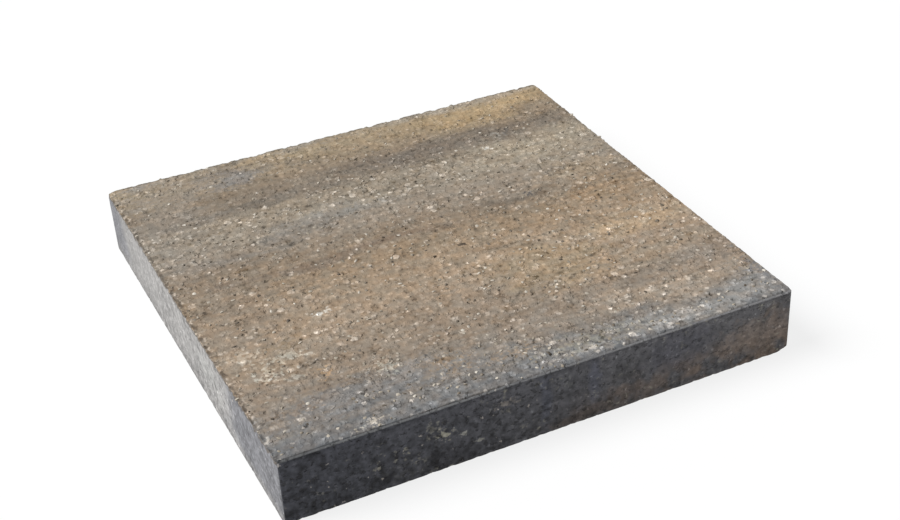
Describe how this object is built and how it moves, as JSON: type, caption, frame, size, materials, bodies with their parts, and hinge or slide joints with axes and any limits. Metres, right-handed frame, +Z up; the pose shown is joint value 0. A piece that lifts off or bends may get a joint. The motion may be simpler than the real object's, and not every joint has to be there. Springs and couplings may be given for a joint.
{
  "type": "wall coping",
  "caption": "Square flat coping slab of pressed concrete with upright sides and a narrow stepped edge round its weathered face, laid in mortar on top of a wall.",
  "frame": {"origin": "middle of the bedding face, which lies on the ground plane", "axes": "+X along the wall, +Y across the wall from the front edge to the back edge, +Z up out of the weathered face"},
  "size_m": [0.3, 0.3, 0.04],
  "materials": {
    "pressed_concrete": "matt pressed concrete, streaked tan, brown and blue-grey face with pale grains, grey moulded sides"
  },
  "bodies": {
    "root": {"coping_slab": "pressed_concrete"}
  },
  "joints": []
}
